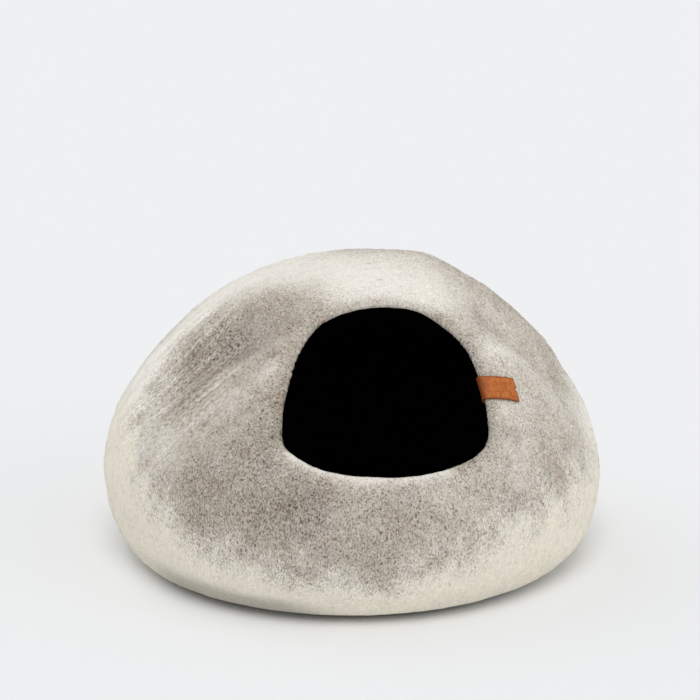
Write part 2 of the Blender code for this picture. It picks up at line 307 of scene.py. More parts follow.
CREAM = (0.87, 0.82, 0.7)
WHITE = (0.915, 0.885, 0.815)
GREY = (0.54, 0.49, 0.42)
DEEP_GREY = (0.33, 0.29, 0.238)
LILAC = (0.56, 0.52, 0.56)
RUST = (0.33, 0.205, 0.165)
# The hollow's wool is painted near black, a dark lining with painted shade
HOLLOW_PAINTED_SHADE = (0.006, 0.0055, 0.005)
HOLLOW_PAINTED_SHADE_FLECK = (0.018, 0.0165, 0.015)
DARK_FIBRE = (0.11, 0.095, 0.08)
GREY_FIBRE = (0.34, 0.3, 0.26)
CREAM_FIBRE = (0.7, 0.64, 0.55)
PALE_FIBRE = (0.8, 0.76, 0.69)
WHITE_FIBRE = (0.93, 0.91, 0.87)
TAN = (0.64, 0.185, 0.026)
TAN_DULL = (0.43, 0.108, 0.014)
TAN_DARK = (0.2, 0.048, 0.01)
TAN_LIGHT = (0.74, 0.27, 0.065)
FLOOR = (0.925, 0.936, 0.952)

# The noises of the finishes: the size of their features, their detail and how rough that is
NOISE_MIDDLE = 0.5
NOISES = {
    "swirl": (0.005, 1.0, 0.5),
    "fine": (0.0013, 1.0, 0.6),
    "combed fine": (0.001, 1.0, 0.5),
    "worm": (0.0013, 0.0, 0.5),
    "tuft": (0.004, 2.0, 0.6),
    "streak": (0.003, 2.0, 0.5),
    "combed streak": (0.0024, 2.0, 0.5),
    "pleat": (0.0044, 2.0, 0.5),
    "cloud": (0.026, 3.0, 0.6),
    "drift": (0.07, 1.0, 0.5),
    "hollow fine": (0.0022, 1.5, 0.6),
    "hollow tuft": (0.008, 2.0, 0.6),
    "fibre": (0.004, 1.0, 0.5),
    "leather cloud": (0.006, 3.0, 0.6),
    "leather pull": (0.0016, 2.0, 0.6),
}
SWIRL_REACH = 0.005
UPRIGHT_SHARE = 0.62
STREAK_SHARE = 0.24
FINE_COMB_CONTRAST = 1.2
WORM_SHARPNESS = 8.0

# Where a fact starts to show in a colour, and where it shows in full
FADES = {
    "flank": (0.25, 0.75),
    "dark wool": (0.1, 0.9),
    "white": (0.2, 1.0),
    "grey": (0.0, 0.55),
    "deep grey": (0.35, 1.0),
    "lilac": (-0.02, 0.22),
    "rust tuft": (0.0, 0.16),
    "rust cloud": (-0.06, 0.1),
    "hair": (0.04, 0.2),
    "whole": (0.0, 1.0),
    "hollow": (-0.15, 0.25),
    "leather cloud": (-0.12, 0.12),
    "leather pull": (0.0, 0.22),
    "leather grain": (0.0, 0.16),
}
LILAC_SHARE = 0.25
RUST_SHARE = 0.7
HAIR_SHADE = 0.5
WORM_SHADE = 0.12
MEAN_SPECK_SHADE = 0.089
FIBRE_PATCH_SHARE = 0.5
PULL_SHARE = 0.6
GRAIN_SHARE = 0.4
BURNISH_AND_SHADE_SHARE = 0.85
LEATHER_ROUGHNESS = 0.42

# How much each noise or fact adds to the ragged top of the foot, the mottle of dark wool, the shade
# of all wool and that of dark wool, and to the height of the reliefs
# The pleat noise paints light and shade along fine pleats of the left flank, in the mottle and the
# shade, besides its relief
RAGGED = {"cloud": 0.9, "streak": 0.35, "fine": 0.35}
MOTTLE = {"cloud": 0.8, "tuft": 0.8, "streak": 0.5, "pleat": -1.4}
SHADE = {"fine": -0.42, "tuft": 0.14, "streak": 0.24, "pleat": 0.42}
SHADE_IN_DARK = {"fine": -2.5, "tuft": 0.12, "streak": 0.4}
RELIEF = {"fine": 0.5, "tuft": 0.8, "streak": 0.8, "pleat": 1.0}
HOLLOW_PALE = {"fine": 1.0, "tuft": 0.5}
HOLLOW_RELIEF = {"fine": 0.6, "tuft": 1.0}
LEATHER_ROUGHER = {"cloud": 0.25, "burnish": 0.06}
LEATHER_RELIEF = {"grain": 0.5, "pull": 0.4, "cloud": 0.6}

# How deep and how strong each relief is, and the constants of each surface
BUMPS = {"felt": (0.0008, 0.45), "hollow": (0.0011, 0.7), "leather": (0.00022, 0.6)}
NO_SHINE = {"Roughness": 1.0, "Specular IOR Level": 0.0}
SURFACES = {
    "felt": {
        "Roughness": 0.95, "Specular IOR Level": 0.0,
        "Sheen Weight": 0.06, "Sheen Roughness": 0.5, "Sheen Tint": (1.0, 0.98, 0.93),
    },
    "hollow": NO_SHINE,
    "fibre": {"Roughness": 0.8, "Specular IOR Level": 0.2},
    "leather": {"Specular IOR Level": 0.28},
    "floor": NO_SHINE,
}


def smooth(share):
    """0 to 1 with a level start and end."""
    share = np.clip(share, 0.0, 1.0)
    return share * share * (3 - 2 * share)


def bell(distance, width):
    """1 at no distance, and less and less over a width."""
    return np.exp(-((distance / width) ** 2))


def unit(vectors):
    """The same directions, each 1 long."""
    return vectors / np.linalg.norm(vectors, axis=-1, keepdims=True)


def way_along(steps):
    """The way from a line's start to each of its points, from the steps between them."""
    return np.concatenate([[0.0], np.cumsum(steps)])


def closed_curve(places, count):
    """Points on a smooth closed curve through the places, this many for each of them."""
    after = np.roll(places, -1, axis=0)
    slope = (after - np.roll(places, 1, axis=0)) / 2
    share = np.linspace(0, 1, count, endpoint=False)[:, None, None]
    curve = (
        (2 * share**3 - 3 * share**2 + 1) * places
        + (share**3 - 2 * share**2 + share) * slope
        + (3 * share**2 - 2 * share**3) * after
        + (share**3 - share**2) * np.roll(slope, -1, axis=0)
    )
    return curve.transpose(1, 0, 2).reshape(-1, places.shape[1])


def half_outline():
    """Half the cave's section, from the crown's middle to the foot's: run, radius and height."""
    half = np.array([row[1:] for row in OUTLINE])
    other_half = half[-2:0:-1] * (-1, 1)
    curve = closed_curve(np.concatenate([half, other_half]), CURVE_STEPS)
    curve = curve[: CURVE_STEPS * (len(half) - 1) + 1]
    radius, height = curve[:, 0], np.maximum(curve[:, 1], 0.0)
    steps = np.hypot(np.diff(radius), np.diff(height))
    return way_along(steps), radius, height


RUN, RADIUS, OUTLINE_HEIGHT = half_outline()
FULL_RUN = RUN[-1]
TO_FLOOR = int(np.argmax(OUTLINE_HEIGHT <= 0)) + 1


def run_at_height(height):
    """How far down from the crown the dome is this high."""
    return np.interp(-np.asarray(height), -OUTLINE_HEIGHT[:TO_FLOOR], RUN[:TO_FLOOR])


def plain_dome(azimuth, run):
    """Points of the dome without its folds. The azimuth is in radians."""
    radius = np.interp(run, RUN, RADIUS)
    height = np.interp(run, RUN, OUTLINE_HEIGHT)
    across = radius * np.sin(azimuth)
    away = -DEPTH_SHARE * radius * np.cos(azimuth)
    return np.stack([across, away, height], axis=-1)


def on_dome(azimuth, height):
    """Points of the plain dome at an azimuth in degrees and a height."""
    return plain_dome(np.radians(azimuth), run_at_height(height))


def outward(azimuth, run):
    """Unit directions straight out of the plain dome. The foot's point down."""
    step = FULL_RUN / CURVE_STEPS
    below = plain_dome(azimuth, np.minimum(run + step, FULL_RUN))
    down = below - plain_dome(azimuth, np.maximum(run - step, 0))
    around = plain_dome(azimuth + TURN_STEP, run) - plain_dome(azimuth - TURN_STEP, run)
    return unit(np.cross(down, around))


def fold_line(start, middle, end):
    """Points along a fold, on the plain dome, through its three places."""
    share = np.linspace(0, 1, FOLD_STEPS)[:, None]
    bend = 2 * np.array(middle, float) - (np.array(start, float) + np.array(end, float)) / 2
    places = (1 - share) ** 2 * start + 2 * share * (1 - share) * bend + share**2 * np.array(end)
    return on_dome(*places.T)


def fold_push(points, folds):
    """How far folds or creases move each point out of the plain dome."""
    total = np.zeros(len(points))
    for _, start, middle, end, width, push in folds:
        away = np.linalg.norm(points[:, None] - fold_line(start, middle, end), axis=2)
        along = away.argmin(axis=1) / (FOLD_STEPS - 1)
        taper = smooth(along / FOLD_TAPER) * smooth((1 - along) / FOLD_TAPER)
        total += push * taper * bell(away.min(axis=1), width)
    return total


def round_patch(points, place, width):
    """1 at a place on the dome, given as azimuth and height, and less and less round it."""
    return bell(np.linalg.norm(points - on_dome(*place), axis=1), width)


def patch_push(points, patches):
    """How far lumps move each point out of the plain dome, or what patches add to a share."""
    return sum(push * round_patch(points, place, width) for place, width, push in patches)


def broad_push(points):
    """How far the broad folds and lumps move each point out of the plain dome."""
    push = fold_push(points, FOLDS) + patch_push(points, LUMPS)
    return push * smooth((points[:, 2] - FLAT_HEIGHT) / (UNEVEN_HEIGHT - FLAT_HEIGHT))


def to_plane(azimuth, run):
    """The dome flattened onto a plane with its crown at 0 and its foot far out, as complex numbers."""
    return np.tan(math.pi * run / FULL_RUN / 2) * np.exp(1j * azimuth)


def from_plane(place):
    """Azimuth and run of a place on that plane."""
    return np.angle(place), 2 * np.arctan(np.abs(place)) * FULL_RUN / math.pi


def even_steps(loop, count):
    """This many evenly spaced points along a closed loop of complex numbers."""
    loop = np.append(loop, loop[0])
    run = way_along(np.abs(np.diff(loop)))
    wanted = np.linspace(0, run[-1], count, endpoint=False)
    return np.interp(wanted, run, loop.real) + 1j * np.interp(wanted, run, loop.imag)


def rim_on_plane(count):
    """The rim of the mouth on the plane, at this many spokes."""
    _, across, height = zip(*RIM)
    run = run_at_height(height)
    azimuth = np.arcsin(np.array(across) / np.interp(run, RUN, RADIUS))
    places = to_plane(azimuth, run)
    loop = closed_curve(np.stack([places.real, places.imag], axis=-1), CURVE_STEPS)
    return even_steps(loop[:, 0] + 1j * loop[:, 1], count)


def ring_places(share):
    """Places of rings on the plane, by their share of the way from the rim to a circle in the foot."""
    rim = rim_on_plane(SPOKES)
    middle = rim.mean()
    reach, turn = np.abs(rim - middle), np.unwrap(np.angle(rim - middle))
    even = np.arange(SPOKES) * 2 * math.pi / SPOKES
    even += (turn - even).mean()
    last_run = FULL_RUN - LAST_RING_RADIUS
    last_reach = abs(to_plane(0.0, last_run))
    centre = middle * (1 - smooth(share / CENTRE_REACHED))
    angle = turn + (even - turn) * smooth(share)
    return centre + reach ** (1 - share) * last_reach**share * np.exp(1j * angle)


def outer_places():
    """Places of the outer rings. The first lies back from the rim by half the felt."""
    even = np.linspace(0, 1, OUTER_RINGS + 1)[:, None]
    two = plain_dome(*from_plane(ring_places(even[:2])))
    step = np.linalg.norm(two[1] - two[0], axis=1)
    start = FELT / 2 / step / OUTER_RINGS
    return ring_places(start + (1 - start) * even)


def smooth_outside(azimuth, run):
    """The outer surface with its broad folds alone, and its distance from the rim."""
    points = plain_dome(azimuth, run)
    steps = np.linalg.norm(np.diff(points, axis=0), axis=2)
    from_rim = np.concatenate([np.zeros((1, SPOKES)), np.cumsum(steps, axis=0)]) + FELT / 2
    push = broad_push(points.reshape(-1, 3)).reshape(azimuth.shape)
    push -= LIP_ROLL * bell(from_rim, LIP_REACH)
    return points + outward(azimuth, run) * push[:, :, None], from_rim


def grid_normals(points, known):
    """Unit normals of a grid that closes round its columns, on the side of its last rows' known ones."""
    down = np.gradient(points, axis=0)
    around = np.roll(points, -1, axis=1) - np.roll(points, 1, axis=1)
    normal = unit(np.cross(down, around))
    return normal * np.sign((normal[-len(known) :] * known).sum())


def lay_of(azimuth, run):
    """Places in the felt's own grain: across and away as they are, and a share of the run."""
    radius = np.interp(run, RUN, RADIUS)
    return np.stack([radius * np.sin(azimuth), -radius * np.cos(azimuth), LAY_SHARE * run], axis=-1)


def comb_of(points):
    """Places on the left flank measured across the folds and along them, in metres."""
    line = fold_line(*COMB_LINE)
    ways = unit(np.gradient(line, axis=0))
    length = np.linalg.norm(line[-1] - line[0]) / (FOLD_STEPS - 1)
    away = np.linalg.norm(points[:, None] - line, axis=2)
    nearest = away.min(axis=1, keepdims=True)
    weight = np.exp((nearest**2 - away**2) / COMB_SMOOTHING**2)
    weight /= weight.sum(axis=1, keepdims=True)
    way = unit(weight @ ways)
    place = weight @ line
    offset = points - place
    across = (offset * unit(np.cross(place, way))).sum(axis=1)
    along = weight @ np.arange(FOLD_STEPS) * length + (offset * way).sum(axis=1)
    return np.stack([across, along, np.zeros(len(points))], axis=-1)


def grain_push(lay):
    """The felt's own unevenness at places given in its grain."""
    total = np.zeros(len(lay))
    for number, (_, size, push) in enumerate(GRAINS):
        places = lay / size + number
        total += push * np.array([noise.noise(Vector(place)) for place in places])
    return total


def tab_clearance(points):
    """0 where the tab lies, 1 well away from it."""
    away = np.linalg.norm(points - on_dome(*TAB_AIM), axis=-1)
    return smooth((away - TAB_CLEAR / 2) / TAB_CLEAR)


def dark_share(points, from_rim, creases):
    """How much of the wool is dark at each outer point, above the cream foot, from 0 to 1, with painted
    shade in creases and at the lip's edge and painted light on ridges and the low lip.
    """
    points = points.reshape(-1, 3)
    share = GREY_SHARE - CREASE_PAINTED_SHADE * creases.ravel()
    share += patch_push(points, PATCHES) + fold_push(points, BANDS)
    low = smooth((PALE_LIP_TOP - points[:, 2]) / PALE_LIP_FADE)
    low *= smooth((PALE_LIP_RIGHT - points[:, 0]) / PALE_LIP_FADE)
    at_lip = bell(from_rim.ravel(), PALE_LIP)
    share *= 1 - LOW_LIP_PAINTED_LIGHT * low * at_lip
    share += LIP_EDGE_PAINTED_SHADE * (1 - low) * at_lip
    return np.clip(share, 0, 1).reshape(from_rim.shape)


def above_foot(points, azimuth):
    """0 in the cream foot, 1 above it, and below 0 where painted shade darkens the foot low down, in a
    band on its left and where it turns under.
    """
    edge = np.interp(np.degrees(azimuth), *zip(*CREAM_EDGE))
    height = points[:, :, 2]
    under = (1 - LOW_PAINTED_SHADE_SHARE) * smooth((UNDER_HEIGHT - height) / UNDER_FADE)
    under += LOW_PAINTED_SHADE_SHARE * smooth((LOW_SHADE_HEIGHT - height) / LOW_SHADE_HEIGHT)
    under += fold_push(points.reshape(-1, 3), FOOT_PAINTED_SHADE_BANDS).reshape(height.shape)
    return np.clip((height - edge + CREAM_FADE) / (2 * CREAM_FADE), 0, 1) - under


class Shell:
    """The shell as rows of points, from the foot in the hollow round the lip to the outer foot."""

    def __init__(self, with_grain):
        azimuth, run = from_plane(outer_places())
        outside, from_rim = smooth_outside(azimuth, run)
        normals = grid_normals(outside, outward(azimuth, run))
        lay = lay_of(azimuth, run)
        creases = fold_push(outside.reshape(-1, 3), CREASES).reshape(azimuth.shape)
        creases *= smooth(from_rim / CREASES_FROM_RIM)
        grain = np.zeros(azimuth.shape)
        if with_grain:
            grain = self.grain(outside, lay, creases)
        chosen = np.arange(OUTER_RINGS, -1, -INNER_RING_STEP)
        inside = outside[chosen] - normals[chosen] * FELT
        lip = self.lip(outside, normals, grain[0])

        def all_rows(values):
            return np.concatenate([values[chosen], np.ones((len(lip), 1)) * values[0], values])

        self.points = np.concatenate([inside, lip, outside + normals * grain[:, :, None]])
        self.lay = np.concatenate([lay[chosen], lay[0] + (lip - outside[0]), lay])
        self.dark = all_rows(dark_share(outside, from_rim, creases))
        self.above = all_rows(above_foot(outside, azimuth))
        flank = round_patch(self.points.reshape(-1, 3), *FLANK)
        self.flank = flank.reshape(self.dark.shape)
        self.normals = grid_normals(self.points, normals)
        self.comb = comb_of(self.points.reshape(-1, 3)).reshape(self.points.shape)
        self.last_dark_row = len(inside) + DARK_LIP_STEPS
        self.along = unit(np.gradient(self.points, axis=0))
        down = plain_dome(azimuth, run + RUN_STEP) - plain_dome(azimuth, run)
        self.along[-len(down) :] = unit(down)

    @staticmethod
    def grain(points, lay, creases):
        """How far creases and felting lift each outer point."""
        push = grain_push(lay.reshape(-1, 3)).reshape(creases.shape) + creases
        low = (points[:, :, 2] - GRAIN_FLAT_HEIGHT) / (GRAIN_FULL_HEIGHT - GRAIN_FLAT_HEIGHT)
        return push * smooth(low) * tab_clearance(points)

    @staticmethod
    def lip(outside, normals, grain):
        """Rows round the lip, from the hollow's side to the outer side, without their ends."""
        forward = outside[0] - outside[1]
        forward = unit(forward - normals[0] * (forward * normals[0]).sum(axis=1, keepdims=True))
        middle = outside[0] - normals[0] * (FELT / 2)
        rows = []
        for step in range(LIP_STEPS - 1, 0, -1):
            turn = math.pi * step / LIP_STEPS
            direction = normals[0] * math.cos(turn) + forward * math.sin(turn)
            reach = FELT / 2 + grain * (1 - step / LIP_STEPS)
            rows.append(middle + direction * reach[:, None])
        return np.array(rows)


def new_piece(name, mesh, materials):
    """A mesh as an object of the scene that rides on the part's one body."""
    piece = bpy.data.objects.new(name, mesh)
    for material in materials:
        mesh.materials.append(material)
    bpy.context.scene.collection.objects.link(piece)
    mesh.shade_smooth()
    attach(piece, "root")
    return piece


def bent_grid(name, points, facts, closed=False, dark_rows=0):
    """A grid primitive with each corner moved to points[row, column].

    The facts are arrays for the corners, kept as attributes. A closed grid joins its sides. The
    first rows of faces, up to dark_rows, take the second material.
    """
    rows, columns = points.shape[0] - 1, points.shape[1] - (0 if closed else 1)
    shape = bmesh.new()
    layers = {}
    for fact, values in facts.items():
        kinds = shape.verts.layers.float_vector if values.ndim > 2 else shape.verts.layers.float
        layers[fact] = kinds.new(fact)
    bmesh.ops.create_grid(shape, x_segments=columns, y_segments=rows, size=1.0)
    for face in shape.faces:
        row = (face.calc_center_median().y + 1) / 2 * rows
        face.material_index = 1 if row < dark_rows else 0
    for corner in shape.verts:
        column = round((corner.co.x + 1) / 2 * columns) % points.shape[1]
        row = round((corner.co.y + 1) / 2 * rows)
        corner.co = Vector(points[row, column])
        for fact, values in facts.items():
            value = values[row, column]
            corner[layers[fact]] = Vector(value) if values.ndim > 2 else value
    if closed:
        bmesh.ops.remove_doubles(shape, verts=shape.verts, dist=SAME_CORNER)
    mesh = bpy.data.meshes.new(name)
    shape.to_mesh(mesh)
    shape.free()
    return mesh


def close_feet(mesh):
    """Fills the level rings in the foot and in the hollow, and turns every face outwards."""
    shape = bmesh.new()
    shape.from_mesh(mesh)
    for low, high in ((-FELT / 2, FELT / 2), (FELT / 2, 2 * FELT)):
        ring = [e for e in shape.edges if e.is_boundary and low < e.verts[0].co.z < high]
        for face in bmesh.ops.contextual_create(shape, geom=ring)["faces"]:
            face.material_index = 0 if low < 0 else 1
    bmesh.ops.recalc_face_normals(shape, faces=shape.faces)
    foot = min(shape.faces, key=lambda face: face.calc_center_median().z)
    if foot.normal.z > 0:
        bmesh.ops.reverse_faces(shape, faces=shape.faces)
    shape.to_mesh(mesh)
    shape.free()


def make_felt_shell(shell, materials):
    """The seamless felt, standing for the solid one."""
    names = ("lay", "comb", "dark", "above", "flank")
    facts = {name: getattr(shell, name) for name in names}
    mesh = bent_grid("shell_felt", shell.points, facts, closed=True, dark_rows=shell.last_dark_row)
    close_feet(mesh)
    piece = new_piece("shell_felt", mesh, materials)
    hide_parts("felt_shell")
    return piece


def cell_areas(points):
    """The area of each cell of a grid that closes round its columns."""
    along = points[1:] - points[:-1]
    around = np.roll(points, -1, axis=1) - points
    return np.linalg.norm(np.cross(along, around[:-1]), axis=2)


def scatter(random, shell, weight, count):
    """Random places on the outer felt and its lip: points, normals and ways down the dome."""
    first = shell.last_dark_row
    chance = cell_areas(shell.points)[first:] * weight[first:-1]
    chance = chance.ravel() / chance.sum()
    cell = random.choice(len(chance), size=count, p=chance)
    row, column = first + cell // SPOKES, cell % SPOKES
    beside = (column + 1) % SPOKES
    down, aside = random.random((2, count, 1))

    def between(values):
        near = values[row, column] * (1 - aside) + values[row, beside] * aside
        far = values[row + 1, column] * (1 - aside) + values[row + 1, beside] * aside
        return near * (1 - down) + far * down

    return between(shell.points), unit(between(shell.normals)), unit(between(shell.along))


def spindle_faces():
    """The faces of one fibre: a start, two rings and an end."""
    end = 1 + 2 * FIBRE_SIDES
    faces = []
    for side in range(FIBRE_SIDES):
        near, near_next = 1 + side, 1 + (side + 1) % FIBRE_SIDES
        far, far_next = near + FIBRE_SIDES, near_next + FIBRE_SIDES
        faces += [(0, near_next, near), (near, near_next, far_next)]
        faces += [(near, far_next, far), (far, far_next, end)]
    return np.array(faces)


def make_fibres(kind, random, shell, weight, material):
    """One joined mesh of loose fibres: each a thin bent spindle with three sides."""
    count = kind["count"]
    root, normal, lay = scatter(random, shell, weight, count)
    above = root[:, 2] > GRAIN_FULL_HEIGHT
    root, normal, lay = root[above], normal[above], lay[above]
    count = len(root)
    across = unit(np.cross(normal, lay))
    stray = random.uniform(-kind["stray"], kind["stray"], (count, 1))
    forward = lay * np.cos(stray) + across * np.sin(stray)
    aside = np.cross(normal, forward)
    length = random.uniform(kind["shortest"], kind["longest"], (count, 1))
    curl = random.uniform(-FIBRE_CURL, FIBRE_CURL, (count, 2, 1)) * length[:, None]
    lift = random.uniform(*FIBRE_LIFT, (count, 1))
    start = root - forward * length / 2 - normal * FIBRE_ROOT
    end = root + forward * length / 2 + normal * kind["end"] * lift
    middle = root + normal * kind["middle"] * lift
    reach = forward * length * FIBRE_RING
    rings = [middle - reach + aside * curl[:, 0], middle + reach + aside * curl[:, 1]]
    corners = [start]
    for ring in rings:
        for side in range(FIBRE_SIDES):
            turn = 2 * math.pi * side / FIBRE_SIDES
            corners.append(ring + kind["radius"] * (aside * math.cos(turn) + normal * math.sin(turn)))
    corners.append(end)
    places = np.stack(corners, axis=1).reshape(-1, 3)
    faces = (np.arange(count)[:, None, None] * len(corners) + spindle_faces()).reshape(-1, 3)
    mesh = bpy.data.meshes.new(kind["name"])
    mesh.from_pydata(places.tolist(), [], faces.tolist())
    tone = mesh.attributes.new("tone", "FLOAT", "POINT")
    tone.data.foreach_set("value", np.repeat(random.random(count), len(corners)))
    piece = new_piece(kind["name"], mesh, [material])
    return piece


def solid_rim():
    """The outer edge of the rim, in the steps of the solid shell."""
    azimuth, run = from_plane(rim_on_plane(SOLID_SPOKES))
    points = plain_dome(azimuth, run)
    return points + outward(azimuth, run) * (broad_push(points) - LIP_ROLL)[:, None]


def tab_frame(rim):
    """Where the tab sits on the rim, and its directions: along the rim, over the felt and off it."""
    _, lower_lip, _ = RIM[0]
    side = rim[rim[:, 0] > lower_lip]
    side = side[np.argsort(side[:, 2])]

    def on_rim(height):
        return Vector([np.interp(height, side[:, 2], places) for places in side.T])

    place = on_rim(TAB_HEIGHT_ON_RIM)
    above = on_rim(TAB_HEIGHT_ON_RIM + TAB_WIDTH / 2)
    along = above - on_rim(TAB_HEIGHT_ON_RIM - TAB_WIDTH / 2)
    over = (Vector(on_dome(*TAB_AIM)) - place).normalized()
    off = along.cross(over).normalized()
    if off.x < 0:
        off = -off
    return place, over.cross(off), over, off


def tab_section():
    """The tab's path round the rim, inner end first: how far over the felt and off its middle."""
    stand = FELT / 2 + TAB_STAND
    legs = np.linspace(TAB_LEG, 0, TAB_LEG_STEPS, endpoint=False)
    bend = np.linspace(-math.pi / 2, math.pi / 2, TAB_BEND_STEPS + 1)
    over = np.concatenate([legs, -stand * np.cos(bend), legs[::-1]])
    straight = np.full(len(legs), stand)
    off = np.concatenate([-straight, stand * np.sin(bend), straight])
    return over, off


def stood_off(felt, point):
    """The point moved straight off the felt, or towards it, to where the leather's middle lies."""
    nearest = felt.find_nearest(point)[0]
    return nearest + (point - nearest).normalized() * TAB_STAND


def off_felt(felt, wanted, off, side, over_felt):
    """Where the leather's middle lies for a wanted point: turned about the lip, or flat on the felt.

    The side is 1 outside the cave and -1 in its hollow, and over_felt is the share that lies flat.
    """
    round_lip = stood_off(felt, wanted)
    away = off * side
    hit, normal = felt.ray_cast(wanted + away * TAB_LEG, -away)[:2]
    if hit is None or over_felt == 0:
        return round_lip
    facing = normal if normal.dot(away) > 0 else -normal
    return round_lip.lerp(hit + facing * TAB_STAND, over_felt)


def stiffen(points, felt):
    """Evens out the strap along its length, as stiff leather does, and keeps it off the felt."""
    for _ in range(TAB_STIFFNESS):
        points[1:-1] = (points[:-2] + 2 * points[1:-1] + points[2:]) / 4
    for place in np.ndindex(points.shape[:2]):
        point = Vector(points[place])
        if felt.find_nearest(point)[3] < TAB_STAND:
            points[place] = stood_off(felt, point)
    return points


def make_tab(shell, material, rim):
    """The strap of leather folded over the rim, laid a little off the felt all the way round."""
    near = np.arange(shell.dark[1:].size).reshape(-1, SPOKES)
    beside = np.roll(near, -1, axis=1)
    faces = np.stack([near, beside, beside + SPOKES, near + SPOKES], axis=-1).reshape(-1, 4)
    felt = BVHTree.FromPolygons(shell.points.reshape(-1, 3).tolist(), faces.tolist())
    place, along, over, off = tab_frame(rim)
    middle = place - off * (FELT / 2)
    section_over, section_off = tab_section()
    half = TAB_WIDTH / 2
    columns = np.linspace(-half, half, TAB_COLUMNS + 1)
    points = np.zeros((len(section_over), len(columns), 3))
    strip = np.zeros_like(points)
    burnish = np.zeros(points.shape[:2])
    length = way_along(np.hypot(np.diff(section_over), np.diff(section_off)))
    for row, (reach, height) in enumerate(zip(section_over, section_off)):
        over_felt = float(smooth((reach - TAB_TURN_START) / (TAB_TURN_REACH - TAB_TURN_START)))
        along_leg = max(0.0, reach) / TAB_LEG if height > 0 else 0.0
        for column, aside in enumerate(columns):
            nick = max(0.0, 1 - abs(aside) / NICK_HALF_WIDTH) * NICK_DEPTH * along_leg**NICK_FADE
            slant = TAB_SLANT * along_leg * aside / half
            wanted = middle + along * aside + over * (reach - nick + slant) + off * height
            points[row, column] = off_felt(felt, wanted, off, math.copysign(1, height), over_felt)
            strip[row, column] = (aside, length[row], 0)
            from_edge = min(half - abs(aside), length[row], length[-1] - length[row])
            from_fold = abs(length[row] - length[-1] / 2)
            # Partly burnished leather, partly painted shade
            at_edge = bell(from_edge, BURNISHED_AND_SHADED_EDGE)
            burnish[row, column] = max(at_edge, bell(from_fold, BURNISHED_AND_SHADED_FOLD))
    points = stiffen(points, felt)
    facts = {"strip": strip, "burnish": burnish}
    piece = new_piece("tab_leather", bent_grid("tab_leather", points, facts), [material])
    thickness = piece.modifiers.new("Leather", "SOLIDIFY")
    thickness.thickness = LEATHER
    thickness.offset = 0.0
    thickness.use_even_offset = True
    edge = piece.modifiers.new("Edge", "BEVEL")
    edge.limit_method = "ANGLE"
    edge.angle_limit = SHARP_EDGE
    edge.width = TAB_EDGE_ROUNDING
    edge.segments = TAB_EDGE_STEPS
    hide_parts("leather_tab")
    return piece


class Wire:
    """A socket of a finish's nodes. Arithmetic on it adds the Math nodes that work it out."""

    def __init__(self, finish, socket):
        self.finish = finish
        self.socket = socket

    def math(self, operation, *others):
        sockets = dict(enumerate((self, *others)))
        return self.finish.node("ShaderNodeMath", {"operation": operation}, sockets)[0]

    def __add__(self, other):
        return self.math("ADD", other)

    __radd__ = __add__

    def __mul__(self, other):
        return self.math("MULTIPLY", other)

    __rmul__ = __mul__

    def __sub__(self, other):
        return self.math("SUBTRACT", other)

    def __rsub__(self, other):
        return self * -1.0 + other

    def __abs__(self):
        return self.math("ABSOLUTE")

    def fade(self, name):
        """0 below the low value of a fade in the table, 1 above its high one, smooth between."""
        low, high = FADES[name]
        settings = {"interpolation_type": "SMOOTHSTEP", "clamp": True}
        sockets = {"Value": self, "From Min": low, "From Max": high}
        return self.finish.node("ShaderNodeMapRange", settings, sockets)[0]


class Finish:
    """A material under construction."""

    MIX_FACTOR, MIX_FIRST, MIX_SECOND = 0, 6, 7

    def __init__(self, name):
        self.material = bpy.data.materials.new(name)
        self.material.use_nodes = True
        self.tree = self.material.node_tree
        self.tree.nodes.clear()

    def node(self, kind, settings, sockets):
        """Any node: its settings are made first, then the values and links of its sockets."""
        made = self.tree.nodes.new(kind)
        for name, value in settings.items():
            setattr(made, name, value)
        for place, value in sockets.items():
            socket = made.inputs[place]
            if isinstance(value, Wire):
                self.tree.links.new(value.socket, socket)
            elif hasattr(value, "__len__") and len(value) < len(socket.default_value):
                socket.default_value = (*value, 1.0)
            else:
                socket.default_value = value
        return [Wire(self, socket) for socket in made.outputs if socket.enabled]

    def place(self, name):
        """A place kept on the mesh under this name."""
        return self.node("ShaderNodeAttribute", {"attribute_name": name}, {})[1]

    def fact(self, name):
        """A value kept on the mesh under this name."""
        return self.node("ShaderNodeAttribute", {"attribute_name": name}, {})[2]

    def vector(self, operation, *others):
        sockets = dict(enumerate(others))
        return self.node("ShaderNodeVectorMath", {"operation": operation}, sockets)[0]

    def noise(self, name, place):
        """A noise of the table: its value, as far above or below its middle, and its colour."""
        size, detail, roughness = NOISES[name]
        sockets = {"Vector": place, "Scale": 1 / size, "Detail": detail, "Roughness": roughness}
        value, colour = self.node("ShaderNodeTexNoise", {"noise_dimensions": "3D"}, sockets)
        return value - NOISE_MIDDLE, colour

    def blend(self, share, first, second):
        """A colour between two, by a share."""
        sockets = {self.MIX_FACTOR: share, self.MIX_FIRST: first, self.MIX_SECOND: second}
        return self.node("ShaderNodeMix", {"data_type": "RGBA"}, sockets)[0]

    def bump(self, name, height):
        """The normal of a relief with this height, as deep and as strong as its table says."""
        distance, strength = BUMPS[name]
        sockets = {"Height": height, "Distance": distance, "Strength": strength}
        return self.node("ShaderNodeBump", {}, sockets)[0]

    def surface(self, name, **sockets):
        """The shader itself: the constants of its table, and sockets named with underscores."""
        named = {socket.replace("_", " "): value for socket, value in sockets.items()}
        shader = self.node("ShaderNodeBsdfPrincipled", {}, {**SURFACES[name], **named})[0]
        self.node("ShaderNodeOutputMaterial", {}, {"Surface": shader})
        return self.material


def mixed(facts, shares):
    """The sum of some facts, each by its share."""
    return sum(facts[name] * share for name, share in shares.items())


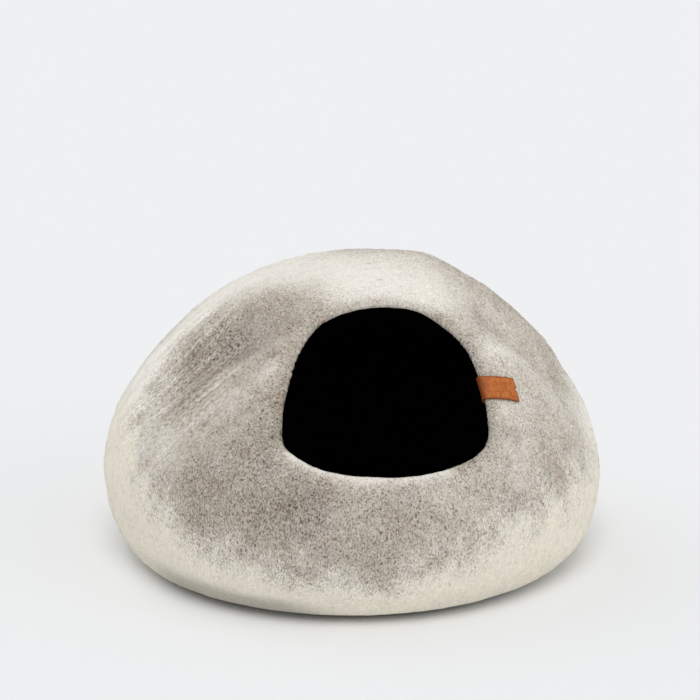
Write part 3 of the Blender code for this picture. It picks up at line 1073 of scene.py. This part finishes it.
def felt_finish():
    """Cream wool with dark wool felted into it: worm-like speckle, flecks and clouds along the lay."""
    felt = Finish("felt")
    lay, comb = felt.place("lay"), felt.place("comb")
    dark, above = felt.fact("dark"), felt.fact("above")
    flank = felt.fact("flank").fade("flank")

    def drawn_out(name, place, shares):
        return felt.noise(name, felt.vector("MULTIPLY", place, shares))[0]

    def combed(name, share, plain, contrast):
        """A plain noise that gives way on the left flank to one drawn out along its folds."""
        return plain + (drawn_out(name, comb, (1.0, share, 1.0)) * contrast - plain) * flank

    swirl = felt.vector("SUBTRACT", felt.noise("swirl", lay)[1], (NOISE_MIDDLE,) * 3)
    curled = felt.vector("ADD", lay, felt.vector("MULTIPLY", swirl, (SWIRL_REACH,) * 3))
    fine = drawn_out("fine", curled, (1.0, 1.0, UPRIGHT_SHARE))
    streak = drawn_out("streak", lay, (1.0, 1.0, STREAK_SHARE))
    noises = {
        "fine": combed("combed fine", FINE_COMB_SHARE, fine, FINE_COMB_CONTRAST),
        "streak": combed("combed streak", STREAK_COMB_SHARE, streak, 1.0),
        "pleat": drawn_out("pleat", comb, (1.0, PLEAT_COMB_SHARE, 1.0)) * flank,
        "tuft": felt.noise("tuft", lay)[0],
        "cloud": felt.noise("cloud", lay)[0],
    }
    drift = felt.noise("drift", lay)[0]
    worm = 1.0 - abs(felt.noise("worm", curled)[0]) * WORM_SHARPNESS
    ragged = above + mixed(noises, RAGGED)
    tone = dark * ragged.fade("dark wool") * (mixed(noises, MOTTLE) + 1.0)
    wool = felt.blend(ragged.fade("white"), CREAM, WHITE)
    wool = felt.blend(tone.fade("grey"), wool, GREY)
    wool = felt.blend(tone.fade("deep grey"), wool, DEEP_GREY)
    wool = felt.blend(drift.fade("lilac") * tone * LILAC_SHARE, wool, LILAC)
    rust = noises["tuft"].fade("rust tuft") * noises["cloud"].fade("rust cloud")
    wool = felt.blend(rust * tone * RUST_SHARE, wool, RUST)
    specks = noises["fine"].fade("hair") * HAIR_SHADE - worm * WORM_SHADE - MEAN_SPECK_SHADE
    shade = mixed(noises, SHADE) + (mixed(noises, SHADE_IN_DARK) - specks) * tone + 1.0
    # Painted shade on the foot: low down, in the band on its left and where it turns under
    shade = shade * (1.0 - (above * -1.0).fade("whole") * UNDER_PAINTED_SHADE)
    shaded = felt.node("ShaderNodeCombineXYZ", {}, {"X": shade, "Y": shade, "Z": shade})[0]
    colour = felt.vector("MULTIPLY", wool, shaded)
    relief = felt.bump("felt", mixed(noises, RELIEF))
    return felt.surface("felt", Base_Color=colour, Normal=relief)


def hollow_shade_finish():
    """The hollow's wool, painted near black: a dark lining with painted shade."""
    felt = Finish("felt_hollow_painted_shade")
    lay = felt.place("lay")
    noises = {"fine": felt.noise("hollow fine", lay)[0], "tuft": felt.noise("hollow tuft", lay)[0]}
    colour = felt.blend(mixed(noises, HOLLOW_PALE).fade("hollow"), HOLLOW_PAINTED_SHADE, HOLLOW_PAINTED_SHADE_FLECK)
    relief = felt.bump("hollow", mixed(noises, HOLLOW_RELIEF))
    return felt.surface("hollow", Base_Color=colour, Normal=relief)


def fibre_finish(name, first, second):
    """Wool fibres, each of its own tone between two."""
    fibre = Finish(name)
    place = fibre.node("ShaderNodeTexCoord", {}, {})[3]
    tone = fibre.fact("tone") + fibre.noise("fibre", place)[0] * FIBRE_PATCH_SHARE
    colour = fibre.blend(tone.fade("whole"), first, second)
    return fibre.surface("fibre", Base_Color=colour)


def leather_finish():
    """Tan leather with a fine grain, darker at its edges and round the fold: partly burnished, partly
    painted shade.
    """
    leather = Finish("leather")
    strip = leather.place("strip")
    sockets = {"Vector": strip, "Scale": 1 / LEATHER_GRAIN}
    cells = leather.node("ShaderNodeTexVoronoi", {"feature": "DISTANCE_TO_EDGE"}, sockets)[0]
    facts = {
        "burnish": leather.fact("burnish"),
        "cloud": leather.noise("leather cloud", strip)[0],
        "pull": leather.noise("leather pull", strip)[0],
        "grain": cells.fade("leather grain"),
    }
    colour = leather.blend(facts["cloud"].fade("leather cloud"), TAN_DULL, TAN)
    colour = leather.blend(facts["pull"].fade("leather pull") * PULL_SHARE, colour, TAN_LIGHT)
    colour = leather.blend((1.0 - facts["grain"]) * GRAIN_SHARE, colour, TAN_DARK)
    colour = leather.blend(facts["burnish"] * BURNISH_AND_SHADE_SHARE, colour, TAN_DARK)
    rough = mixed(facts, LEATHER_ROUGHER) + LEATHER_ROUGHNESS
    relief = leather.bump("leather", mixed(facts, LEATHER_RELIEF))
    return leather.surface("leather", Base_Color=colour, Roughness=rough, Normal=relief)


def make_floor():
    """A wide pale floor just under the cave."""
    shape = bmesh.new()
    bmesh.ops.create_circle(shape, cap_ends=True, segments=FLOOR_SIDES, radius=FLOOR_RADIUS)
    for corner in shape.verts:
        corner.co.z = -FLOOR_SINK
    mesh = bpy.data.meshes.new("floor")
    shape.to_mesh(mesh)
    shape.free()
    mesh.materials.append(Finish("floor").surface("floor", Base_Color=FLOOR))
    floor = bpy.data.objects.new("floor", mesh)
    bpy.context.scene.collection.objects.link(floor)


def aim_from(thing, place, target):
    """Puts a light or a camera at a place, looking at another."""
    thing.location = place
    thing.rotation_euler = (Vector(target) - Vector(place)).to_track_quat("-Z", "Y").to_euler()
    bpy.context.scene.collection.objects.link(thing)


def make_light():
    """An even white room, and very soft lights from above and from both sides."""
    world = bpy.data.worlds.new("room")
    world.use_nodes = True
    sky = world.node_tree.nodes["Background"]
    sky.inputs["Color"].default_value = (1.0, 1.0, 1.0, 1.0)
    sky.inputs["Strength"].default_value = SKY_STRENGTH
    bpy.context.scene.world = world
    for name, place, strength, softness in LIGHTS:
        sun = bpy.data.lights.new(name, "SUN")
        sun.energy = strength
        sun.angle = math.radians(softness)
        aim_from(bpy.data.objects.new(name, sun), place, (0.0, 0.0, 0.0))


def make_camera():
    lens = bpy.data.cameras.new("camera")
    lens.sensor_width = SENSOR
    lens.lens = SENSOR * FOCAL_PIXELS / IMAGE_SIDE
    lens.clip_end = CAMERA_REACH
    camera = bpy.data.objects.new("camera", lens)
    aim_from(camera, CAMERA_PLACE, CAMERA_AIM)
    bpy.context.scene.camera = camera


def main():
    bpy.context.scene.view_settings.view_transform = "Standard"
    make_camera()
    make_light()
    make_floor()
    plain = Shell(with_grain=False)
    shell = Shell(with_grain=True)
    felt = make_felt_shell(shell, [felt_finish(), hollow_shade_finish()])
    random = np.random.default_rng(FIBRE_SEED)
    finishes = {
        "grey_fibres": fibre_finish("grey_fibre", DARK_FIBRE, GREY_FIBRE),
        "cream_fibres": fibre_finish("cream_fibre", CREAM_FIBRE, WHITE_FIBRE),
        "fuzz": fibre_finish("fuzz_fibre", PALE_FIBRE, WHITE_FIBRE),
    }
    everywhere = np.ones_like(shell.dark)
    for row in FIBRES:
        kind = dict(zip(FIBRE_COLUMNS, row))
        name = kind["name"]
        weight = shell.dark**2 * smooth(shell.above) if name == "grey_fibres" else everywhere
        make_fibres(kind, random, shell, weight, finishes[name])
    tab = make_tab(plain, leather_finish(), solid_rim())


main()
